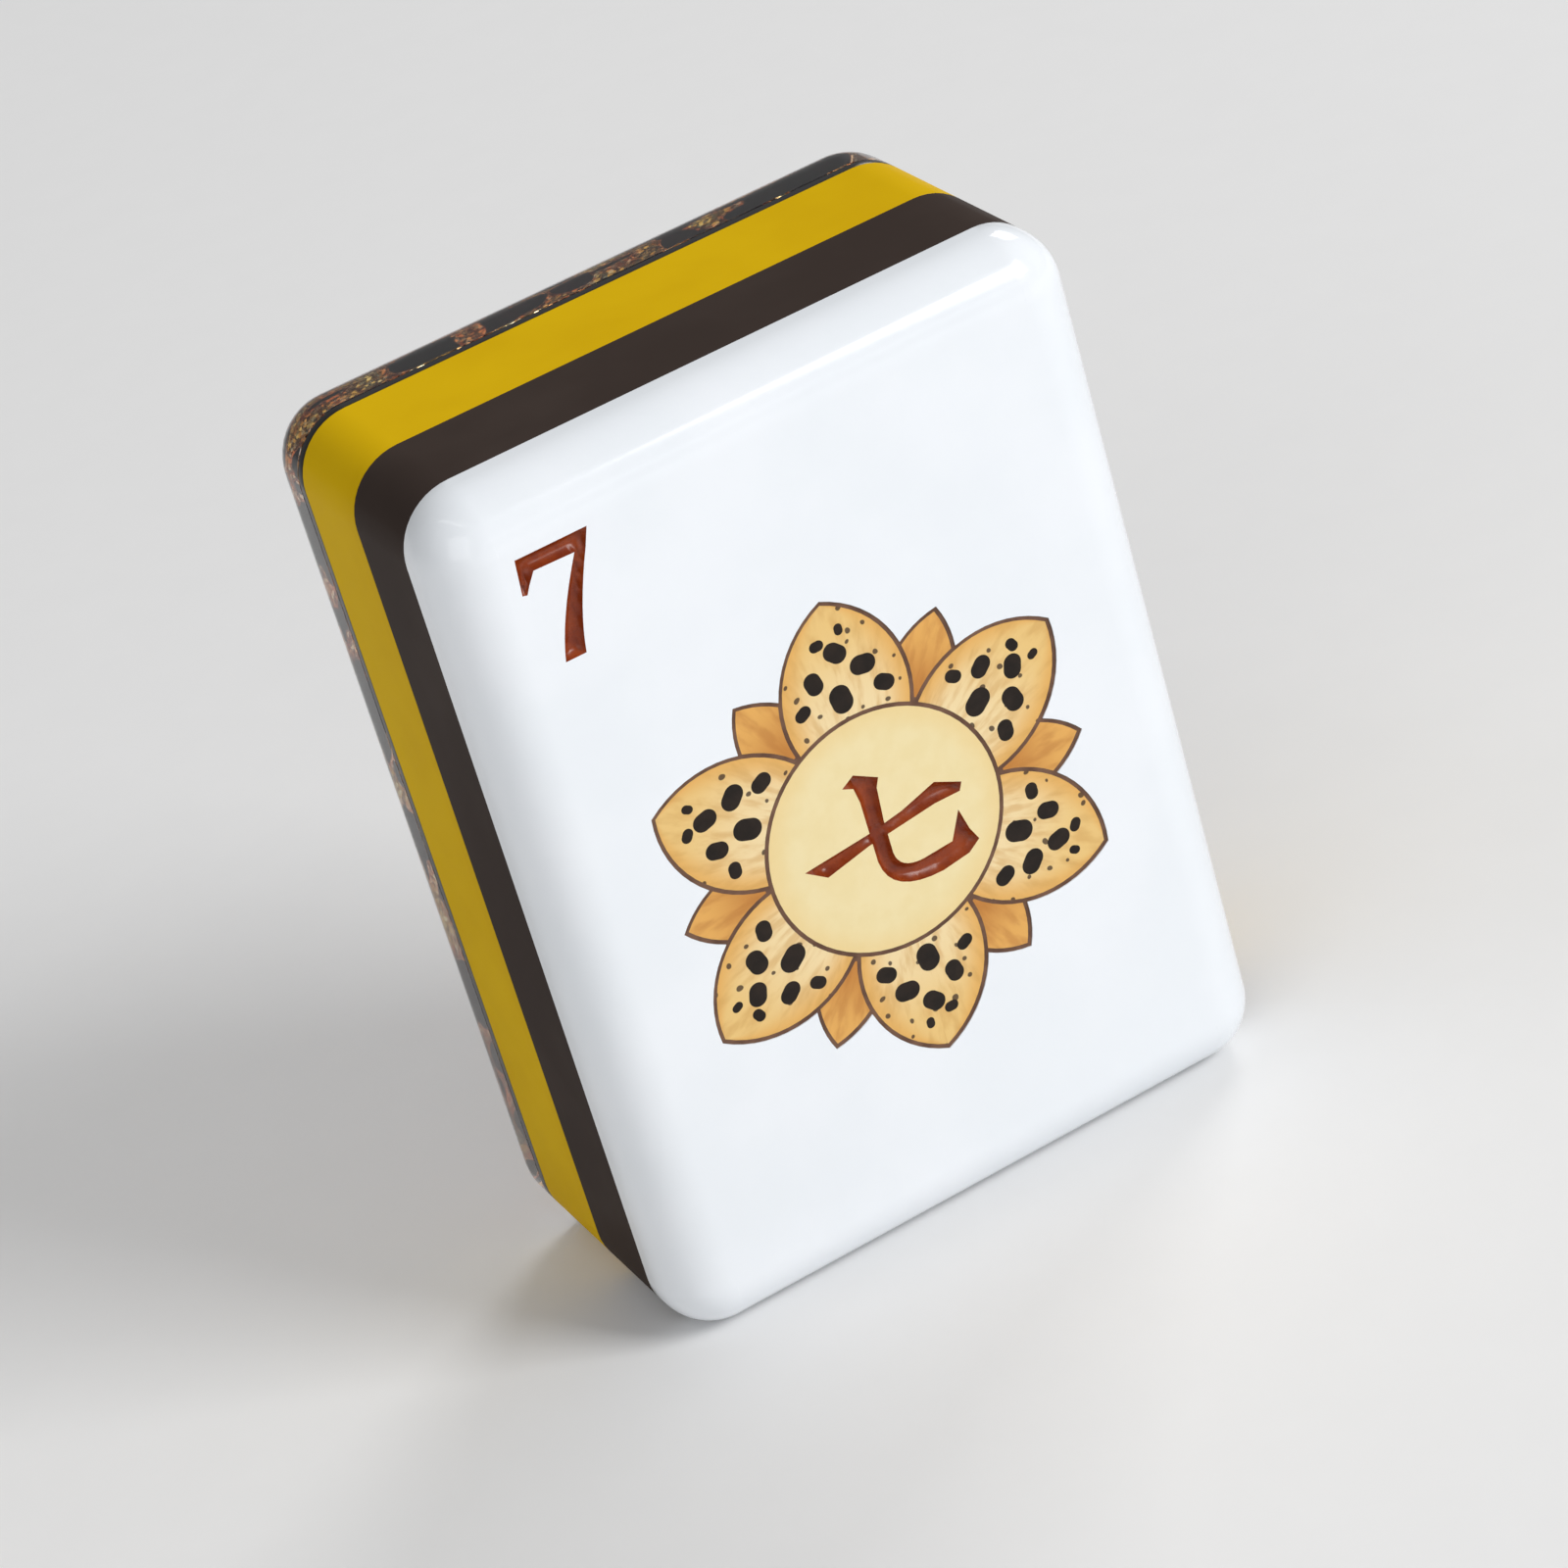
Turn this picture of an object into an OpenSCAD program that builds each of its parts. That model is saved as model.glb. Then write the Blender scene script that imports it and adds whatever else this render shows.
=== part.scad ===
/* [Tile] */
// Width of the tile across its face
tile_w = 22; // [20:0.5:26]
// Height of the tile from its short bottom side to its top
tile_h = 30; // [27:0.5:36]
// Depth of the tile from its face to its back
tile_d = 13; // [11.5:0.5:16]
// Radius of the four corners as seen from the front
corner_r = 2; // [1.6:0.1:4]
// Radius of the rounding along the edges of the face and of the back
edge_r = 1.9; // [1:0.1:2.3]

/* [Layers] */
// Thickness of the white face block
face_t = 2.4; // [2.3:0.1:4]
// Thickness of the dark layer, in front of the yellow one
dark_t = 3.6; // [2:0.1:6]
// Thickness of the black backing sheet
backing_t = 0.3; // [0.2:0.05:0.6]
// Thickness of the printed glitter film
film_t = 0.1; // [0.05:0.05:0.3]
// Thickness of the clear cap
cap_t = 2.7; // [2.3:0.1:4]

/* [Numeral] */
// Width of the corner numeral
numeral_w = 2.5; // [2:0.1:3]
// Height of the corner numeral
numeral_h = 3.7; // [3:0.1:4.5]
// Distance from the left side to the numeral
numeral_margin_x = 2.3; // [2.2:0.1:3]
// Distance from the top to the numeral
numeral_margin_z = 2.1; // [2:0.1:3]

/* [Flower and its disc] */
// Distance from the top of the tile to the middle of the flower
flower_drop = 15.9; // [15.5:0.1:16.5]
// Radius of the pale disc
disc_r = 4; // [3.6:0.05:4.2]
// Length of a petal from the disc to its tip
petal_l = 4; // [3.4:0.1:4.2]
// How far a sepal's tip stays behind the petals' tips
sepal_lag = 1; // [0.6:0.1:1.4]
// Width of the thin lines round the disc, the petals and the sepals
line_w = 0.14; // [0.1:0.01:0.2]
// Distance from the sides of the character to the edge of the disc
character_margin = 1.1; // [0.9:0.05:1.4]

/* [Engraving and paint] */
// Depth of the grooves that hold the numeral and the character
groove_depth = 0.45; // [0.4:0.05:0.6]
// Thickness of the paint in those grooves
groove_paint_t = 0.25; // [0.15:0.05:0.3]
// Depth of the shallow pockets that hold the flower and the disc
print_depth = 0.16; // [0.14:0.02:0.3]
// Thickness of the paint in those pockets
print_paint_t = 0.12; // [0.04:0.02:0.14]

/* [Hidden] */
$fn = 96;

// How far a cutting tool runs past the face
overrun = 0.5;
// The yellow layer takes what the others leave of the depth
yellow_t = tile_d - face_t - dark_t - backing_t - film_t - cap_t;
// Where the layers start, from the face plane to the back plane
face_y = -tile_d / 2;
dark_y = face_y + face_t;
yellow_y = dark_y + dark_t;
backing_y = yellow_y + yellow_t;
film_y = backing_y + backing_t;
cap_y = film_y + film_t;
// The rounding stays within the two outer layers, and a hair smaller than the corners' radius
least_core = 0.05;
face_edge_r = min(edge_r, face_t, corner_r - least_core);
cap_edge_r = min(edge_r, cap_t, corner_r - least_core);

// Middle of the flower, and the lower left corner of the numeral
flower_z = tile_h - flower_drop;
numeral_x = numeral_margin_x - tile_w / 2;
numeral_z = tile_h - numeral_margin_z - numeral_h;

character_w = 2 * (disc_r - character_margin);
character_h_share = 0.776;
character_h = character_h_share * character_w;

// The petals start under the disc, and two of them leave one line's width between them where they
// come closest, which settles their width
petal_count = 6;
petal_reach = disc_r + petal_l;
petal_base_share = 0.19;
petal_base = petal_base_share * petal_reach;
petal_mid = (petal_reach + petal_base) / 2;
petal_half = (petal_reach - petal_base) / 2;
petal_turn = 180 / petal_count;
bow = 1 - cos(petal_turn);
room = petal_mid * sin(petal_turn) - line_w / 2;
petal_w = (room + sqrt(room * room - bow * (2 - bow) * petal_half * petal_half)) / (1 - bow / 2);
// The sepals lie between the petals and start under the disc too
sepal_reach = petal_reach - sepal_lag;
sepal_base_share = 0.3;
sepal_w_share = 0.56;
sepal_w = sepal_w_share * petal_w;
spot_r_share = 0.085;
spot_r = spot_r_share * petal_w;
// Each spot on a petal: how far it lies from the disc to the petal's tip, how far to the side and how
// big, against the petal's half width and the largest spot, and then its turn in degrees
spot_shares = [
    [0.17, -0.62, 0.75, 60],
    [0.2, 0.08, 1, 10],
    [0.23, 0.7, 0.6, 120],
    [0.39, -0.38, 0.9, 80],
    [0.42, 0.42, 0.8, 15],
    [0.58, -0.02, 0.85, 45],
    [0.7, 0.22, 0.5, 90],
    [0.75, -0.17, 0.4, 0]
];
// How much longer than wide a spot is, against its radius
spot_stretch_share = 0.7;

// Outline of the numeral, as shares of its width from the left and of its height from the foot
serif_shares = [[0.222, 0.85], [0.12, 0.75], [0.063, 0.68], [0, 0.69], [0.04, 1], [1, 1], [0.913, 0.84]];
stem_right_shares = [[0.913, 0.84], [0.6, 0.36], [0.532, 0]];
stem_left_shares = [[0.254, 0], [0.36, 0.36], [0.762, 0.84]];

// Outlines of the character's two strokes, as shares of its width and height in the same way
bar_shares = [
    [0, 0.488], [0.408, 0.532], [0.62, 0.578], [0.839, 0.663],
    [0.99, 0.566], [0.967, 0.506], [0.81, 0.508], [0.384, 0.446], [0.118, 0.373]
];
stem_head_shares = [
    [0.408, 0.783], [0.393, 0.904], [0.332, 0.94], [0.412, 1], [0.545, 0.898], [0.521, 0.831], [0.507, 0.578]
];
bend_inside_shares = [[0.507, 0.313], [0.517, 0.163], [0.659, 0.159]];
hook_shares = [[0.848, 0.175], [0.929, 0.38], [0.962, 0.205], [1, 0.096], [0.924, 0.03]];
bend_outside_shares = [[0.754, 0], [0.43, 0], [0.41, 0.301]];

// Points of a curve that leaves its first point towards its second and ends at its third
curve_steps = 8;
function curve(p) = [
    for (i = [0:curve_steps])
        let (t = i / curve_steps) (1 - t) * (1 - t) * p[0] + 2 * t * (1 - t) * p[1] + t * t * p[2]
];
function stretched(points, w, h) = [for (p = points) [p[0] * w, p[1] * h]];

// Section of a plate from its middle to its side, with the outer corner at the bottom rounded
module edge_section(half, t, r) {
    translate([0, r]) square([half, t - r]);
    square([half - r, t]);
    intersection() {
        translate([half - r, r]) circle(r);
        square([half, t]);
    }
}

module full_section(half, t, r) {
    edge_section(half, t, r);
    mirror([1, 0]) edge_section(half, t, r);
}

// Plate with the tile's outline, flat at the bottom when r is zero and else rounded there by r,
// lying with its outline in the x and y plane and its middle at the origin
module plate(t, r) {
    core_w = tile_w - 2 * corner_r;
    core_h = tile_h - 2 * corner_r;
    translate([0, core_h / 2, 0]) rotate([90, 0, 0]) linear_extrude(core_h) full_section(tile_w / 2, t, r);
    for (side = [0, 1]) mirror([0, side, 0]) {
        translate([-core_w / 2, core_h / 2, 0]) rotate([90, 0, 90]) linear_extrude(core_w)
            edge_section(corner_r, t, r);
        for (end = [0, 1]) mirror([end, 0, 0])
            translate([core_w / 2, core_h / 2, 0]) rotate_extrude(angle = 90) edge_section(corner_r, t, r);
    }
}

// Flat sheet with the tile's outline
module sheet(t) {
    linear_extrude(t) {
        square([tile_w, tile_h - 2 * corner_r], center = true);
        square([tile_w - 2 * corner_r, tile_h], center = true);
        for (x = [-1, 1], y = [-1, 1])
            translate([x * (tile_w / 2 - corner_r), y * (tile_h / 2 - corner_r)]) circle(corner_r);
    }
}

// Stands a lying layer up with its bottom towards the face, at depth y
module layer_at(y) {
    translate([0, y, tile_h / 2]) rotate([-90, 0, 0]) children();
}

// Gives a drawing of the face its thickness, from one depth under the face plane to a deeper one
module inlay(top, bottom) {
    translate([0, face_y + bottom, 0]) rotate([90, 0, 0]) linear_extrude(bottom - top) children();
}

module numeral() {
    points = concat(serif_shares, curve(stem_right_shares), curve(stem_left_shares));
    translate([numeral_x, numeral_z]) polygon(stretched(points, numeral_w, numeral_h));
}

module character() {
    stem = concat(stem_head_shares, curve(bend_inside_shares), hook_shares, curve(bend_outside_shares));
    translate([-character_w / 2, flower_z - character_h / 2]) {
        polygon(stretched(bar_shares, character_w, character_h));
        polygon(stretched(stem, character_w, character_h));
    }
}

module disc(grow = 0) {
    translate([0, flower_z]) circle(disc_r + grow);
}

// Pointed leaf along x, from one distance to another, where two round sides meet
module leaf(from, to, w, grow) {
    half = (to - from) / 2;
    side_r = (half * half + w * w / 4) / w;
    translate([(from + to) / 2, 0]) intersection() {
        translate([0, side_r - w / 2]) circle(side_r + grow);
        translate([0, w / 2 - side_r]) circle(side_r + grow);
    }
}

// Puts a drawing that lies along x round the middle of the flower
module round_flower(first_turn) {
    translate([0, flower_z]) for (i = [0:petal_count - 1])
        rotate(first_turn + i * 360 / petal_count) children();
}

module petals(grow = 0) {
    round_flower(90) leaf(petal_base, petal_reach, petal_w, grow);
}

module sepals(grow = 0) {
    round_flower(90 + petal_turn) leaf(sepal_base_share * sepal_reach, sepal_reach, sepal_w, grow);
}

// What shows of the sepals: the petals' lines and a second ring round the disc cover the rest
module open_sepals() {
    difference() {
        sepals();
        petals(line_w);
        disc(2 * line_w);
    }
}

module spot(r) {
    reach = r * spot_stretch_share;
    square([reach, 2 * r], center = true);
    for (side = [-1, 1]) translate([side * reach / 2, 0]) circle(r);
}

module spots() {
    round_flower(90) for (s = spot_shares)
        translate([disc_r + s[0] * petal_l, s[1] * petal_w / 2])
            rotate(s[3]) spot(s[2] * spot_r);
}

// Everything that is painted with the flower, as one area
module painted_area() {
    disc(2 * line_w);
    petals(line_w);
    sepals(line_w);
}

module face_block() {
    color("white") difference() {
        layer_at(face_y) plate(face_t, face_edge_r);
        inlay(-overrun, groove_depth) numeral();
        inlay(-overrun, groove_depth) character();
        inlay(-overrun, print_depth) painted_area();
    }
}

module dark_layer() {
    color("#3b3331") layer_at(dark_y) sheet(dark_t);
}

module yellow_layer() {
    color("#deaa00") layer_at(yellow_y) sheet(yellow_t);
}

module backing_sheet() {
    color("#100e0d") layer_at(backing_y) sheet(backing_t);
}

module print_film() {
    color("#c8823c") layer_at(film_y) sheet(film_t);
}

module clear_cap() {
    color("#e6eef0", 0.35) translate([0, cap_y + cap_t, tile_h / 2]) rotate([90, 0, 0])
        plate(cap_t, cap_edge_r);
}

module numeral_paint() {
    color("#78280f") inlay(groove_depth - groove_paint_t, groove_depth) numeral();
}

module character_paint() {
    color("#78280f") inlay(groove_depth - groove_paint_t, groove_depth) character();
}

module disc_paint() {
    color("#f3e0a5") inlay(print_depth - print_paint_t, print_depth) difference() {
        disc();
        character();
    }
}

module disc_line_paint() {
    color("#785a4b") inlay(print_depth - print_paint_t, print_depth) difference() {
        disc(line_w);
        disc();
    }
}

module petal_paint() {
    color("#f0be6e") inlay(print_depth - print_paint_t, print_depth) difference() {
        petals();
        disc(line_w);
        spots();
    }
}

module petal_line_paint() {
    color("#5a3c2d") inlay(print_depth - print_paint_t, print_depth) difference() {
        union() {
            petals(line_w);
            sepals(line_w);
            disc(2 * line_w);
        }
        open_sepals();
        petals();
        disc(line_w);
    }
}

module petal_spot_paint() {
    color("#231c16") inlay(print_depth - print_paint_t, print_depth) spots();
}

module sepal_paint() {
    color("#d98a3a") inlay(print_depth - print_paint_t, print_depth) open_sepals();
}

face_block();
dark_layer();
yellow_layer();
backing_sheet();
print_film();
clear_cap();
numeral_paint();
character_paint();
disc_paint();
disc_line_paint();
petal_paint();
petal_line_paint();
petal_spot_paint();
sepal_paint();
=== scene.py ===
from math import cos, pi, radians, sin

import bpy
import numpy as np
from mathutils import Matrix, Vector


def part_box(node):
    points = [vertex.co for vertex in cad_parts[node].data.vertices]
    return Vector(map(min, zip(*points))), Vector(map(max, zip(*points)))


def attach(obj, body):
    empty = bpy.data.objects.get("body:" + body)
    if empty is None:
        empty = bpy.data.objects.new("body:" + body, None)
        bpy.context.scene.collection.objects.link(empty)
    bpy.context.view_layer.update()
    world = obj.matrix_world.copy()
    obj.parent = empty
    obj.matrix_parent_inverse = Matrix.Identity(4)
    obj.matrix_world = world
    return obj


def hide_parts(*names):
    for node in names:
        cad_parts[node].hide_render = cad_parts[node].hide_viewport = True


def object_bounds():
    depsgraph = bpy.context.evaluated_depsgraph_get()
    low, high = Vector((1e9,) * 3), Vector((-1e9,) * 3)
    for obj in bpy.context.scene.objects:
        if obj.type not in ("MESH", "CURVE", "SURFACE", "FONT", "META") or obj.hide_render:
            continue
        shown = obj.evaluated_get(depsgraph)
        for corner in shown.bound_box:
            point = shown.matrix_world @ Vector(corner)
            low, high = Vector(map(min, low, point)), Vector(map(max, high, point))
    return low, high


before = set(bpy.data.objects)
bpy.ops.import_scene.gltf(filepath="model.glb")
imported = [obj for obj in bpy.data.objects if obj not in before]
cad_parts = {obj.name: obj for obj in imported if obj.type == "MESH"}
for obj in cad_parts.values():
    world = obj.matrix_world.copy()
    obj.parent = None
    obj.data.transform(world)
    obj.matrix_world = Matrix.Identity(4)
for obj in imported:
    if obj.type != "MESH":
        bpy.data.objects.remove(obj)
cad_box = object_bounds()

MM = 0.001


def front_of(node):
    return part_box(node)[0].y


def top_of(node):
    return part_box(node)[1].z


# Tile, and the depths at which its layers meet
TILE_W = cad_box[1].x - cad_box[0].x
TILE_H = cad_box[1].z - cad_box[0].z
FACE_Y = front_of("face_block")
DARK_Y = front_of("dark_layer")
YELLOW_Y = front_of("yellow_layer")
BACKING_Y = front_of("backing_sheet")
CAP_Y = front_of("clear_cap")
JOINT_BEVEL = 0.035 * MM
JOINT_BEVEL_STEPS = 2
FILM_INSET = 0.015 * MM
CAP_OVERLAP = 0.03 * MM
# Corners further than this share of the width or height from the middle lie on a layer's rim
RIM_SHARE = 0.4

# Face artwork: the middle of the flower, the surface of its paint, and the grooves' hollow
FLOWER_Z = (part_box("disc_line_paint")[0].z + top_of("disc_line_paint")) / 2
ARTWORK_Y = front_of("disc_line_paint")
GROOVE_DEPTH = 0.3 * MM
GROOVE_HALF_WIDTH = 0.3 * MM
GROOVE_GRID = 0.07 * MM

# Petals, in millimetres: each is a leaf between two round sides, from its root under the disc to its tip.
# From these follow how far out its middle lies, the radius of its sides, and how far across the petal the
# middle of each side's circle lies
PETAL_ROOT = 1.52
PETAL_TIP = (top_of("petal_paint") - FLOWER_Z) / MM
PETAL_W = 4.24
PETAL_MIDDLE = (PETAL_ROOT + PETAL_TIP) / 2
PETAL_SIDE_R = ((PETAL_TIP - PETAL_MIDDLE) ** 2 + (PETAL_W / 2) ** 2) / PETAL_W
PETAL_SIDE_OFFSET = PETAL_SIDE_R - PETAL_W / 2
PETAL_HALF_TURN = radians(30)

# Leopard print, in millimetres: which part of the endless pattern lies on the tile, how far from a point
# the spots' borders are read, to be averaged, and at how many places round it
PRINT_SHIFT = (60, 0, 35)
SPOT_BLUR = 0.5
SPOT_READS = 6
# Cells a millimetre in the patterns of large spots, small spots and glitter
LARGE_SPOT_SCALE = 0.26
SMALL_SPOT_SCALE = 0.45
GRAIN_SCALE = 7.0

# Glitter colours, from a dark grain to a bright one
COPPER = [(0.0, (0.12, 0.015, 0.006)), (0.35, (0.6, 0.14, 0.035)),
          (0.7, (0.92, 0.36, 0.12)), (1.0, (1.0, 0.78, 0.5))]
GOLD = [(0.0, (0.3, 0.11, 0.012)), (0.35, (0.82, 0.46, 0.08)),
        (0.7, (0.97, 0.7, 0.22)), (1.0, (1.0, 0.94, 0.62))]

ACRYLIC_IOR = 1.49
ENAMEL_IOR = 1.5
COAT_ROUGHNESS = 0.15

# A Mix node's sockets for colours, by number, because it has several of each name
MIX_FIRST = 6
MIX_SECOND = 7
MIX_RESULT = 2

# Tolerances for picking, merging and shading
NEAR = 0.002 * MM
FLAT_ANGLE = radians(0.2)
SMOOTH_ANGLE = radians(30)


# Picking and shaping

def work_on(piece):
    bpy.ops.object.select_all(action="DESELECT")
    piece.select_set(True)
    bpy.context.view_layer.objects.active = piece


def pick(piece, kind, wanted):
    """Selects a mesh's vertices, edges or faces for which wanted is true, and nothing else."""
    mesh = piece.data
    for group in (mesh.vertices, mesh.edges, mesh.polygons):
        group.foreach_set("select", [False] * len(group))
    for item in getattr(mesh, kind):
        item.select = wanted(item)


def in_edit_mode(piece, mode, steps):
    work_on(piece)
    bpy.ops.object.mode_set(mode="EDIT")
    bpy.ops.mesh.select_mode(type=mode)
    steps()
    bpy.ops.object.mode_set(mode="OBJECT")


def at_depth(mesh, item, y):
    """Whether an edge or a face lies at one depth with all its corners."""
    return all(abs(mesh.vertices[i].co.y - y) < NEAR for i in item.vertices)


def copy_of(node, name):
    """Copy of a CAD solid with its loose triangles merged and each flat side made one face."""
    piece = bpy.data.objects.new(name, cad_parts[node].data.copy())
    bpy.context.scene.collection.objects.link(piece)
    piece.data.materials.clear()

    def merge():
        bpy.ops.mesh.select_all(action="SELECT")
        bpy.ops.mesh.customdata_custom_splitnormals_clear()
        bpy.ops.mesh.remove_doubles(threshold=NEAR)
        bpy.ops.mesh.dissolve_limited(angle_limit=FLAT_ANGLE)

    in_edit_mode(piece, "VERT", merge)
    return piece


def move_plane(piece, y, new_y):
    """Moves what lies at one depth to another."""
    pick(piece, "vertices", lambda corner: abs(corner.co.y - y) < NEAR)
    in_edit_mode(piece, "VERT", lambda: bpy.ops.transform.translate(value=(0, new_y - y, 0)))


def bevel_rim(piece, y):
    """Breaks the sharp edge of a layer where it meets the next one."""
    mesh = piece.data
    half_w = RIM_SHARE * TILE_W
    half_h = RIM_SHARE * TILE_H
    outer = [abs(corner.co.x) > half_w or abs(corner.co.z - TILE_H / 2) > half_h
             for corner in mesh.vertices]
    pick(piece, "edges", lambda edge: at_depth(mesh, edge, y) and all(outer[i] for i in edge.vertices))
    in_edit_mode(piece, "EDGE", lambda: bpy.ops.mesh.bevel(
        offset=JOINT_BEVEL, segments=JOINT_BEVEL_STEPS, affect="EDGES"))


def shade(piece):
    work_on(piece)
    bpy.ops.object.shade_smooth_by_angle(angle=SMOOTH_ANGLE)
    bpy.ops.object.modifier_add(type="WEIGHTED_NORMAL")
    weighted = piece.modifiers[-1]
    weighted.keep_sharp = True
    bpy.ops.object.modifier_apply(modifier=weighted.name)


def finish_piece(piece, node, material):
    """Gives a new piece its material, hides the CAD node that it stands for, and hangs it under the root
    body.
    """
    piece.data.materials.append(material)
    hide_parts(node)
    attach(piece, "root")


# Layers

def layer(node, name, rims, material):
    piece = copy_of(node, name)
    for y in rims:
        bevel_rim(piece, y)
    shade(piece)
    finish_piece(piece, node, material)


def print_layer(material):
    """The film is a hair smaller than the tile, so that the clear cap closes round it."""
    piece = copy_of("print_film", "leopard_film")
    shares = (1 - 2 * FILM_INSET / TILE_W, 1, 1 - 2 * FILM_INSET / TILE_H)
    centre = (0, CAP_Y, TILE_H / 2)

    def shrink():
        bpy.ops.mesh.select_all(action="SELECT")
        bpy.ops.transform.resize(value=shares, center_override=centre)

    in_edit_mode(piece, "VERT", shrink)
    shade(piece)
    finish_piece(piece, "print_film", material)


def clear_layer(material):
    """The cap reaches a little way into the film, so that no air shows between the two."""
    piece = copy_of("clear_cap", "acrylic_cap")
    move_plane(piece, CAP_Y, CAP_Y - CAP_OVERLAP)
    shade(piece)
    finish_piece(piece, "clear_cap", material)


# Paint in the face

def repaint(node, material):
    """Better material on a CAD node whose shape stays as it is."""
    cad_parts[node].material_slots[0].material = material


def inlay(node, name, material):
    """Flat paint without the slivers that the solid's mesh has round the spots."""
    piece = copy_of(node, name)
    shade(piece)
    finish_piece(piece, node, material)


def front_faces(mesh, y):
    return [face for face in mesh.polygons if at_depth(mesh, face, y)]


def outline_edges(mesh, y):
    """Edges between the front and the sides: those that only one front face has."""
    count = {}
    for face in front_faces(mesh, y):
        for key in face.edge_keys:
            count[key] = count.get(key, 0) + 1
    return {key for key, n in count.items() if n == 1}


def cut_front(piece, y, axis, place):
    """Cuts the flat front across, straight through one place on an axis."""
    normal = [0, 0, 0]
    normal[axis] = 1
    point = [0, 0, 0]
    point[axis] = place
    fronts = {face.index for face in front_faces(piece.data, y)}
    pick(piece, "polygons", lambda face: face.index in fronts)
    in_edit_mode(piece, "FACE", lambda: bpy.ops.mesh.bisect(plane_co=point, plane_no=normal))


def cut_grid(piece, y):
    """Cuts the flat front into a fine grid, so that it can be hollowed."""
    corners = np.array([corner.co for corner in piece.data.vertices])
    low = corners.min(0)
    high = corners.max(0)
    for axis in (0, 2):
        for place in np.arange(low[axis] + GROOVE_GRID / 2, high[axis], GROOVE_GRID):
            cut_front(piece, y, axis, place)


def distance_to(edges, mesh, points):
    """How far each point is from the nearest of the edges, in the plane of the face."""
    place = np.array([(corner.co.x, corner.co.z) for corner in mesh.vertices])
    nearest = np.full(len(points), np.inf)
    for a, b in edges:
        along = place[b] - place[a]
        share = np.clip(((points - place[a]) @ along) / (along @ along), 0, 1)
        gap = points - place[a] - share[:, None] * along
        nearest = np.minimum(nearest, np.hypot(gap[:, 0], gap[:, 1]))
    return nearest


def hollow(piece, y):
    """Sinks the front into a round-bottomed groove that starts steeply at the outline."""
    mesh = piece.data
    edges = outline_edges(mesh, y)
    inside = sorted({i for face in front_faces(mesh, y) for i in face.vertices})
    points = np.array([(mesh.vertices[i].co.x, mesh.vertices[i].co.z) for i in inside])
    share = np.minimum(distance_to(edges, mesh, points) / GROOVE_HALF_WIDTH, 1)
    depth = GROOVE_DEPTH * np.sqrt(1 - (1 - share) ** 2)
    for i, sunk in zip(inside, depth):
        mesh.vertices[i].co.y += sunk
    return edges


def groove(node, name, rim_y, material):
    """Paint that reaches up to its groove's rim and is hollow between."""
    piece = copy_of(node, name)
    move_plane(piece, front_of(node), rim_y)
    cut_grid(piece, rim_y)
    edges = hollow(piece, rim_y)
    mesh = piece.data
    for edge in mesh.edges:
        edge.use_edge_sharp = edge.key in edges
    mesh.polygons.foreach_set("use_smooth", [True] * len(mesh.polygons))
    finish_piece(piece, node, material)


# Materials

class Wire:
    """An output socket. Arithmetic on it adds the Math nodes that work it out."""

    def __init__(self, socket):
        self.socket = socket

    def math(self, operation, first, second=0.0, third=0.0):
        tree = self.socket.id_data
        made = tree.nodes.new("ShaderNodeMath")
        made.operation = operation
        for place, value in enumerate((first, second, third)):
            if isinstance(value, Wire):
                tree.links.new(value.socket, made.inputs[place])
            else:
                made.inputs[place].default_value = value
        return Wire(made.outputs[0])

    def out(self, name):
        """Another output of the same node."""
        return Wire(self.socket.node.outputs[name])

    def __neg__(self):
        return self.math("MULTIPLY", self, -1.0)

    def __add__(self, other):
        return self.math("ADD", self, other)

    def __radd__(self, other):
        return self.math("ADD", other, self)

    def __sub__(self, other):
        return self.math("SUBTRACT", self, other)

    def __rsub__(self, other):
        return self.math("SUBTRACT", other, self)

    def __mul__(self, other):
        return self.math("MULTIPLY", self, other)

    def __rmul__(self, other):
        return self.math("MULTIPLY", other, self)

    def __truediv__(self, other):
        return self.math("DIVIDE", self, other)

    def __gt__(self, other):
        return self.math("GREATER_THAN", self, other)

    def least(self, other, softness):
        return self.math("SMOOTH_MIN", self, other, softness)

    def most(self, other, softness):
        return self.math("SMOOTH_MAX", self, other, softness)

    def size(self):
        return self.math("ABSOLUTE", self)


def opaque(colour):
    """Colour with the fourth value that its socket needs. A wire stays as it is."""
    return colour if isinstance(colour, Wire) else (*colour, 1)


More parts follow.
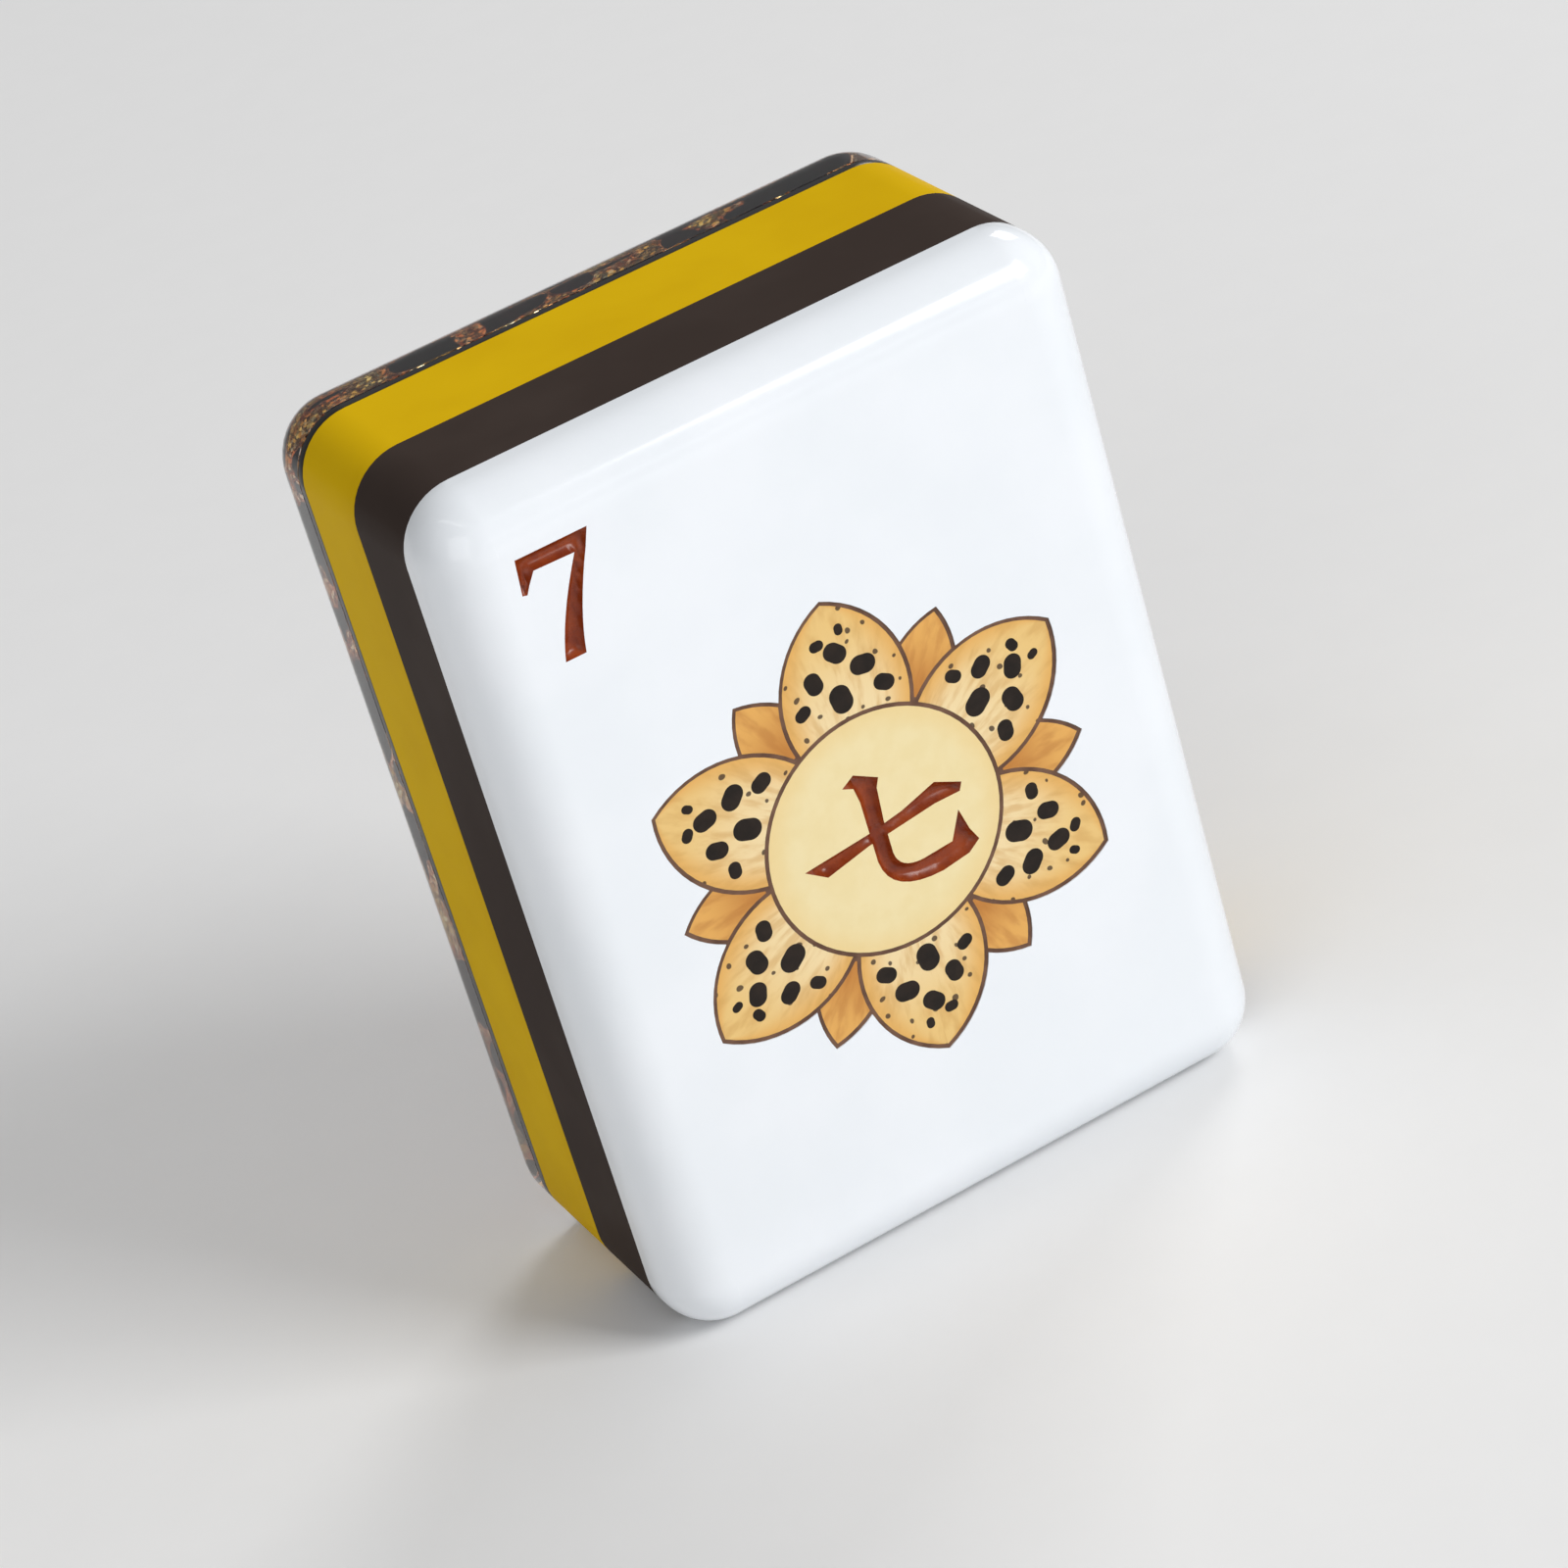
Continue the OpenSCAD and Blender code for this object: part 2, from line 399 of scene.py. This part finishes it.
class Finish:
    """A material's nodes. Places and lengths in it are in millimetres, and scales in waves a millimetre."""

    def __init__(self, name):
        self.material = bpy.data.materials.new(name)
        self.material.use_nodes = True
        self.tree = self.material.node_tree
        self.tree.nodes.clear()
        metres = self.node("ShaderNodeTexCoord", {}, {}, "Object")
        self.place = self.vector("SCALE", {0: metres, "Scale": 1 / MM})

    def node(self, kind, settings, inputs, output=0):
        """Adds a node, sets or wires its inputs, and gives one of its outputs."""
        made = self.tree.nodes.new(kind)
        for name, value in settings.items():
            if name == "stops":
                self.set_stops(made.color_ramp, value)
            else:
                setattr(made, name, value)
        for name, value in inputs.items():
            if isinstance(value, Wire):
                self.tree.links.new(value.socket, made.inputs[name])
            else:
                made.inputs[name].default_value = value
        return Wire(made.outputs[output])

    def set_stops(self, ramp, stops):
        while len(ramp.elements) < len(stops):
            ramp.elements.new(1)
        for element, (position, colour) in zip(ramp.elements, stops):
            element.position = position
            element.color = opaque(colour)

    def ramp(self, factor, stops):
        return self.node("ShaderNodeValToRGB", {"stops": stops}, {"Fac": factor}, "Color")

    def spread(self, value, low, high):
        """0 below low, 1 above high, eased between."""
        return self.node("ShaderNodeMapRange", {"interpolation_type": "SMOOTHSTEP"},
                         {"Value": value, "From Min": low, "From Max": high})

    def mix(self, factor, first, second):
        """First colour where the factor is 0, second where it is 1."""
        return self.node("ShaderNodeMix", {"data_type": "RGBA"},
                         {0: factor, MIX_FIRST: opaque(first), MIX_SECOND: opaque(second)}, MIX_RESULT)

    def vector(self, operation, inputs):
        return self.node("ShaderNodeVectorMath", {"operation": operation}, inputs)

    def centred(self, colour):
        """Vector from a random colour, with each part from -0.5 to 0.5."""
        return self.vector("SUBTRACT", {0: colour, 1: (0.5, 0.5, 0.5)})

    def noise(self, scale, detail, place=None):
        """Cloudy noise from 0 to 1."""
        return self.node("ShaderNodeTexNoise", {},
                         {"Vector": place or self.place, "Scale": scale, "Detail": detail})

    def wobble(self, place, scale, amount):
        """Place pushed about by cloudy noise, by up to half the amount each way."""
        push = self.noise(scale, 1.0, place).out("Color")
        offset = self.vector("SCALE", {0: self.centred(push), "Scale": amount})
        return self.vector("ADD", {0: place, 1: offset})

    def face_on(self, place):
        """Place turned so that a flat pattern lies in the plane of the tile's face."""
        return self.node("ShaderNodeMapping", {}, {"Vector": place, "Rotation": (radians(-90), 0, 0)})

    def cells(self, feature, place, scale, randomness=0.95):
        """Flat pattern of cells: how far a point is from the nearest border, or middle for F1."""
        return self.node("ShaderNodeTexVoronoi", {"voronoi_dimensions": "2D", "feature": feature},
                         {"Vector": place, "Scale": scale, "Randomness": randomness}, "Distance")

    def chance(self, cells):
        """A random number from 0 to 1 for each cell of a pattern."""
        return self.node("ShaderNodeSeparateColor", {}, {"Color": cells.out("Color")})

    def bump(self, height, distance):
        """Normal from a height in millimetres times distance."""
        return self.node("ShaderNodeBump", {}, {"Height": height, "Distance": distance * MM}, "Normal")

    def surface(self, **inputs):
        """Principled shader. Its inputs' names have underscores for spaces."""
        named = {name.replace("_", " "): value for name, value in inputs.items()}
        named["Base Color"] = opaque(named["Base Color"])
        return self.node("ShaderNodeBsdfPrincipled", {}, named)

    def done(self, shader):
        end = self.tree.nodes.new("ShaderNodeOutputMaterial")
        self.tree.links.new(shader.socket, end.inputs["Surface"])
        return self.material


# Acrylic

def polish(finish, scale=0.35, depth=0.0006):
    """Slight unevenness that buffing leaves on acrylic."""
    return finish.bump(finish.noise(scale, 1.0), depth)


def scratches(finish, turn):
    """Sparse hairlines along one direction in degrees, from 0 to 1."""
    along = finish.node("ShaderNodeMapping", {}, {
        "Vector": finish.place, "Rotation": (0, radians(turn), 0), "Scale": (0.35, 14, 14)})
    return finish.spread(finish.noise(1.0, 1.0, along), low=0.72, high=0.78)


def acrylic(name, light, dark, roughness, shine=0.5, coat=0.0):
    """Polished cast acrylic: faint clouds in its colour, a hazier sheen in places, a few hairlines.

    A thin coat with no shine below it mirrors less of the floor at a slant than a weak shine does."""
    finish = Finish(name)
    clouds = finish.spread(finish.noise(0.18, 3.0), low=0.35, high=0.65)
    hairlines = scratches(finish, 35) + scratches(finish, -50)
    sheen = roughness + 0.05 * finish.noise(0.6, 2.0) + 0.12 * hairlines
    return finish.done(finish.surface(
        Base_Color=finish.mix(clouds, light, dark), Roughness=sheen, IOR=ACRYLIC_IOR,
        Specular_IOR_Level=shine, Coat_Weight=coat, Coat_Roughness=COAT_ROUGHNESS, Coat_IOR=ACRYLIC_IOR,
        Normal=polish(finish)))


def clear_acrylic():
    """Clear cast acrylic that lets the lamps' light in to the print."""
    finish = Finish("clear acrylic")
    hairlines = scratches(finish, 25) + scratches(finish, -60)
    haze = 0.012 + 0.015 * finish.noise(0.5, 2.0) + 0.06 * hairlines
    glass = finish.surface(Base_Color=(0.97, 0.98, 0.985), Roughness=haze, IOR=ACRYLIC_IOR,
                           Transmission_Weight=1.0, Normal=polish(finish, 0.3, 0.0005))
    shadow = finish.node("ShaderNodeLightPath", {}, {}, "Is Shadow Ray")
    open_way = finish.node("ShaderNodeBsdfTransparent", {}, {"Color": (0.93, 0.94, 0.95, 1)})
    return finish.done(finish.node("ShaderNodeMixShader", {}, {0: shadow, 1: glass, 2: open_way}))


# Enamel

def coverage(finish):
    """How thick the pigment lies, from 0 to 1."""
    return finish.spread(finish.noise(1.6, 3.0), low=0.3, high=0.7)


def ripples(finish):
    return finish.bump(finish.noise(3.0, 2.0), 0.004)


def painted(finish, colour, normal, roughness=0.32, shine=0.35):
    """Satin paint whose sheen changes a little from place to place."""
    sheen = roughness + 0.15 * finish.noise(4.0, 2.0)
    return finish.done(finish.surface(Base_Color=colour, Roughness=sheen, IOR=ENAMEL_IOR,
                                      Specular_IOR_Level=shine, Normal=normal))


def enamel(name, light, dark, roughness=0.3, shine=0.35):
    """Brushed-in enamel: its pigment lies a little thicker in places."""
    finish = Finish(name)
    colour = finish.mix(coverage(finish), light, dark)
    return painted(finish, colour, ripples(finish), roughness, shine)


def around_flower(finish):
    """Distance from the middle of the flower, and the angle round it."""
    x = finish.node("ShaderNodeSeparateXYZ", {}, {"Vector": finish.place}, "X")
    z = x.out("Z") - FLOWER_Z / MM
    return x.math("SQRT", x * x + z * z), x.math("ARCTAN2", x, z)


def strokes_outwards(finish, radius, angle):
    """Fine brush strokes that run out from the middle of the flower, from 0 to 1."""
    place = finish.node("ShaderNodeCombineXYZ", {}, {"X": angle * 16, "Y": radius * 0.8})
    return finish.noise(1.0, 3.0, place)


def across_petal(radius, angle):
    """How far a point is across its petal: 0 on the petal's middle line, 1 on its outline."""
    turn = angle.math("WRAP", angle, PETAL_HALF_TURN, -PETAL_HALF_TURN)
    along = radius * turn.math("COSINE", turn) - PETAL_MIDDLE
    half_width = along.math("SQRT", PETAL_SIDE_R ** 2 - along * along) - PETAL_SIDE_OFFSET
    return radius * turn.math("SINE", turn).size() / half_width


def small_flecks(finish):
    """Scattered small dots, from 0 to 1."""
    fleck = finish.cells("F1", finish.face_on(finish.wobble(finish.place, 1.5, 0.25)), 1.35)
    chance = finish.chance(fleck)
    return finish.spread((chance > 0.45) * (0.04 + 0.12 * chance) - fleck, low=0.0, high=0.03)


def petal_enamel():
    """Tan paint, cream near the disc and ochre along the outlines, with fine strokes and flecks."""
    finish = Finish("petal enamel")
    radius, angle = around_flower(finish)
    strokes = strokes_outwards(finish, radius, angle)
    cream = (0.86, 0.68, 0.38)
    tan = (0.8, 0.54, 0.2)
    ochre = (0.76, 0.42, 0.11)
    in_strokes = (0.6, 0.32, 0.08)
    in_flecks = (0.05, 0.025, 0.014)
    body = finish.mix(finish.spread(radius, low=4.0, high=7.4), cream, tan)
    edged = finish.mix(finish.spread(across_petal(radius, angle), low=0.45, high=1.05), body, ochre)
    brushed = finish.mix(0.5 * finish.spread(strokes, low=0.42, high=0.7), edged, in_strokes)
    colour = finish.mix(0.9 * small_flecks(finish), brushed, in_flecks)
    return painted(finish, colour, finish.bump(strokes, 0.006))


def sepal_enamel():
    """Orange paint, deeper towards the disc, with the same strokes."""
    finish = Finish("sepal enamel")
    radius, angle = around_flower(finish)
    strokes = strokes_outwards(finish, radius, angle)
    deep = (0.54, 0.22, 0.04)
    orange = (0.76, 0.4, 0.1)
    in_strokes = (0.46, 0.17, 0.03)
    body = finish.mix(finish.spread(radius, low=4.4, high=6.6), deep, orange)
    colour = finish.mix(0.5 * finish.spread(strokes, low=0.4, high=0.7), body, in_strokes)
    return painted(finish, colour, finish.bump(strokes, 0.006))


def disc_enamel():
    """Pale yellow paint, warmer towards its rim."""
    finish = Finish("disc enamel")
    radius, _ = around_flower(finish)
    middle = finish.mix(coverage(finish), (0.85, 0.72, 0.41), (0.83, 0.69, 0.37))
    colour = finish.mix(0.6 * finish.spread(radius, low=3.0, high=4.1), middle, (0.82, 0.6, 0.25))
    return painted(finish, colour, ripples(finish))


# Leopard print

def spot_field(finish, flat):
    """How far inside a black spot a point lies, in cells of the pattern, and under 0 on the ground."""

    # Wobbled place, so that the cells of the pattern get uneven outlines
    wobbled = finish.wobble(finish.wobble(flat, 0.25, 2.2), 0.45, 1.1)
    place = finish.face_on(wobbled)

    # Large spots: cells drawn in from their borders, and rounded off where they are far from their middle.
    # Borders read at several places round a point and averaged have no sharp corners
    turns = np.arange(SPOT_READS) * 2 * pi / SPOT_READS
    reads = [(0, 0, 0)] + [(SPOT_BLUR * cos(turn), SPOT_BLUR * sin(turn), 0) for turn in turns]
    borders = [finish.cells("DISTANCE_TO_EDGE", finish.vector("ADD", {0: place, 1: read}), LARGE_SPOT_SCALE)
               for read in reads]
    border = sum(borders) / len(reads)
    middle = finish.cells("F1", place, LARGE_SPOT_SCALE)
    half_ground = 0.08 + 0.11 * finish.noise(0.25, 1.0, flat)
    uneven = 0.3 * finish.noise(0.55, 1.0, flat) - 0.15
    large = (border - half_ground).least(0.6 - middle, softness=0.1) + uneven

    # Small spots between them, each well inside its cell: one that touches a large spot becomes its lobe
    small = finish.cells("F1", place, SMALL_SPOT_SCALE, randomness=0.6)
    chance = finish.chance(small)
    return large.most((chance > 0.35) * (0.2 + 0.14 * chance) - small, softness=0.05)


def glitter(finish, grain, field):
    """Colour of the ground: gold where it is wide, and copper along the spots."""
    picked = finish.chance(grain)
    wide = finish.spread(-field, low=0.01, high=0.11)
    patches = finish.spread(finish.noise(0.35, 1.0), low=0.35, high=0.6)
    copper = finish.ramp(picked, COPPER)
    gold = finish.ramp(picked, GOLD)
    return finish.mix(wide * (0.35 + 0.65 * patches), copper, gold)


def grain_normal(finish, grain, spots):
    """Each grain of the ground tilts its own way, so that single ones flash."""
    lean = finish.centred(grain.out("Color"))
    turned = finish.vector("SCALE", {0: lean, "Scale": 0.7 * (1 - spots)})
    level = finish.node("ShaderNodeNewGeometry", {}, {}, "Normal")
    return finish.vector("NORMALIZE", {0: finish.vector("ADD", {0: level, 1: turned})})


def leopard_print():
    """Black spots of many sizes on a ground of gold and copper glitter."""
    finish = Finish("leopard print")
    flat = finish.vector("MULTIPLY_ADD", {0: finish.place, 1: (1, 0, 1), 2: PRINT_SHIFT})
    field = spot_field(finish, flat)
    spots = finish.spread(field, low=0.0, high=0.018)
    grain = finish.node("ShaderNodeTexVoronoi", {"voronoi_dimensions": "3D", "feature": "F1"},
                        {"Vector": flat, "Scale": GRAIN_SCALE, "Randomness": 1.0})
    tint = finish.spread(finish.noise(0.4, 2.0), low=0.45, high=0.7)
    black = finish.mix(tint, (0.006, 0.004, 0.006), (0.022, 0.006, 0.01))
    return finish.done(finish.surface(
        Base_Color=finish.mix(spots, glitter(finish, grain, field), black), Metallic=1 - spots,
        Roughness=0.24 + 0.2 * spots, Specular_IOR_Level=0.1, Normal=grain_normal(finish, grain, spots)))


# The tile

WHITE = acrylic("white acrylic", (0.86, 0.89, 0.93), (0.83, 0.865, 0.905), roughness=0.1)
DARK = acrylic("black-brown acrylic", (0.054, 0.039, 0.033), (0.045, 0.032, 0.027),
               roughness=0.2, shine=0.0, coat=0.1)
YELLOW = acrylic("golden yellow acrylic", (0.715, 0.455, 0.003), (0.665, 0.41, 0.002),
                 roughness=0.2, shine=0.0, coat=0.1)
BLACK = acrylic("black sheet", (0.007, 0.006, 0.005), (0.004, 0.0035, 0.003), roughness=0.2)
RED_BROWN = enamel("red-brown enamel", (0.3, 0.05, 0.008), (0.2, 0.027, 0.005), roughness=0.2)
LINE = enamel("brown line enamel", (0.17, 0.085, 0.05), (0.1, 0.045, 0.025))
SPOT = enamel("spot enamel", (0.022, 0.014, 0.01), (0.012, 0.008, 0.006), shine=0.2)

layer("face_block", "white_face", [DARK_Y], WHITE)
layer("dark_layer", "dark_plate", [DARK_Y, YELLOW_Y], DARK)
layer("yellow_layer", "yellow_plate", [YELLOW_Y, BACKING_Y], YELLOW)
layer("backing_sheet", "black_backing", [BACKING_Y], BLACK)
print_layer(leopard_print())
clear_layer(clear_acrylic())
groove("numeral_paint", "numeral_groove", FACE_Y, RED_BROWN)
groove("character_paint", "character_groove", ARTWORK_Y, RED_BROWN)
repaint("disc_paint", disc_enamel())
repaint("disc_line_paint", LINE)
repaint("petal_line_paint", LINE)
repaint("sepal_paint", sepal_enamel())
inlay("petal_paint", "spotted_petals", petal_enamel())
inlay("petal_spot_paint", "petal_spots", SPOT)


# Floor, light and camera

def floor_paper():
    finish = Finish("floor paper")
    colour = finish.mix(finish.noise(0.4, 3.0), (0.85, 0.85, 0.85), (0.87, 0.87, 0.87))
    return finish.done(finish.surface(Base_Color=colour, Roughness=0.9))


def floor(size):
    bpy.ops.object.select_all(action="DESELECT")
    bpy.ops.mesh.primitive_plane_add(size=size, location=(0, 0, 0))
    made = bpy.context.object
    made.name = "floor"
    made.data.materials.append(floor_paper())


def lamp(name, place, aim, size, watts):
    """Rectangular lamp that faces its aim."""
    data = bpy.data.lights.new(name, "AREA")
    data.shape = "RECTANGLE"
    data.size, data.size_y = size
    data.energy = watts
    made = bpy.data.objects.new(name, data)
    made.location = place
    made.rotation_euler = (Vector(aim) - Vector(place)).to_track_quat("-Z", "Y").to_euler()
    bpy.context.scene.collection.objects.link(made)


def sky(level):
    world = bpy.data.worlds.new("sky")
    world.use_nodes = True
    background = world.node_tree.nodes["Background"]
    background.inputs["Color"].default_value = (1, 1, 1, 1)
    background.inputs["Strength"].default_value = level
    bpy.context.scene.world = world


def camera(eye, aim, roll, lens, sensor):
    """Looks from the eye to the aim, rolled about that line."""
    forward = (Vector(aim) - Vector(eye)).normalized()
    right = forward.cross(Vector((0, 0, 1))).normalized()
    turn = Matrix.Rotation(roll, 3, forward)
    right = turn @ right
    up = right.cross(forward)
    data = bpy.data.cameras.new("camera")
    data.lens = lens
    data.sensor_width = sensor
    made = bpy.data.objects.new("camera", data)
    made.matrix_world = Matrix((right, up, -forward)).transposed().to_4x4()
    made.location = eye
    bpy.context.scene.collection.objects.link(made)
    bpy.context.scene.camera = made


FLOOR_SIZE = 4
SKY_LEVEL = 0.32
MIDDLE = (0, 0, TILE_H / 2)
HIGH_ON_FACE = (0, 0, 20 * MM)
EYE = (-49.6 * MM, -133.8 * MM, 92.7 * MM)
AIM = (-1.1 * MM, -2.1 * MM, 14.6 * MM)
ROLL = radians(16.95)
LENS = 119
SENSOR = 36

floor(FLOOR_SIZE)
lamp("window", (0.34, -0.41, 0.37), MIDDLE, size=(0.26, 0.26), watts=2.4)
lamp("left fill", (-0.42, -0.46, 0.26), MIDDLE, size=(0.45, 0.45), watts=0.8)
lamp("rear window", (0.46, 0.36, 0.44), MIDDLE, size=(0.24, 0.24), watts=1.3)
lamp("overhead strip", (-0.24, -0.1, 0.5), MIDDLE, size=(0.5, 0.008), watts=0.12)
lamp("front strip", (0.2, -0.53, 0.17), HIGH_ON_FACE, size=(0.5, 0.03), watts=0.06)
sky(SKY_LEVEL)
camera(EYE, AIM, ROLL, LENS, SENSOR)
bpy.context.scene.view_settings.view_transform = "Standard"
